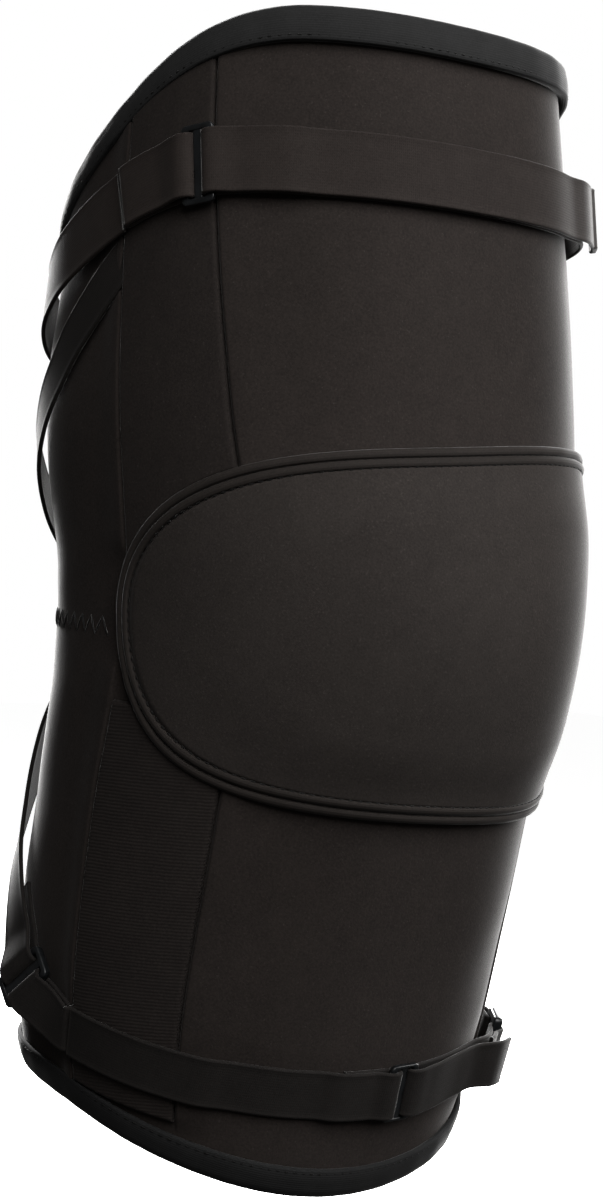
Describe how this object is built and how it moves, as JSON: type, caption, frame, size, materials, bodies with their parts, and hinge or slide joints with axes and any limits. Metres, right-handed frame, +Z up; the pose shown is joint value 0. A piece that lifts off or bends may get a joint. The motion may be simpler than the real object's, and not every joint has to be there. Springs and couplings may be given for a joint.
{
  "type": "elbow brace",
  "caption": "Pre-bent sleeve brace for the elbow with a domed oval pad, bound rims, side pockets and webbing straps with slide buckles, two of them crossing behind the crook.",
  "frame": {"origin": "on the arm's axis, level with the middle of the elbow", "axes": "+Z up the upper arm, -Y out of the elbow pad, +Y out of the crook, +X across the arm"},
  "size_m": [0.1314, 0.1357, 0.2741],
  "materials": {
    "sleeve_cloth": "matt fine knit",
    "pad_cloth": "matt fine knit",
    "ribbed_cloth": "fine cross rib",
    "binding_cloth": "smooth stretch tape",
    "webbing": "dense elastic weave",
    "buckle_plastic": "satin moulded"
  },
  "bodies": {
    "root": {"sleeve": "sleeve_cloth", "elbow_pad": "pad_cloth", "pad_binding": "binding_cloth", "top_binding": "binding_cloth", "bottom_binding": "binding_cloth", "upper_pocket_left": "sleeve_cloth", "upper_pocket_right": "sleeve_cloth", "lower_pocket_left": "ribbed_cloth", "lower_pocket_right": "ribbed_cloth", "top_strap": "webbing", "top_loop": "webbing", "top_buckle": "buckle_plastic", "bottom_strap": "webbing", "bottom_pull_strap": "webbing", "bottom_side_loop": "webbing", "bottom_buckle": "buckle_plastic", "bottom_side_buckle": "buckle_plastic", "cross_strap_left": "webbing", "cross_strap_right": "webbing", "cross_loop_left": "webbing", "cross_loop_right": "webbing", "cross_buckle_left": "buckle_plastic", "cross_buckle_right": "buckle_plastic"}
  },
  "joints": []
}
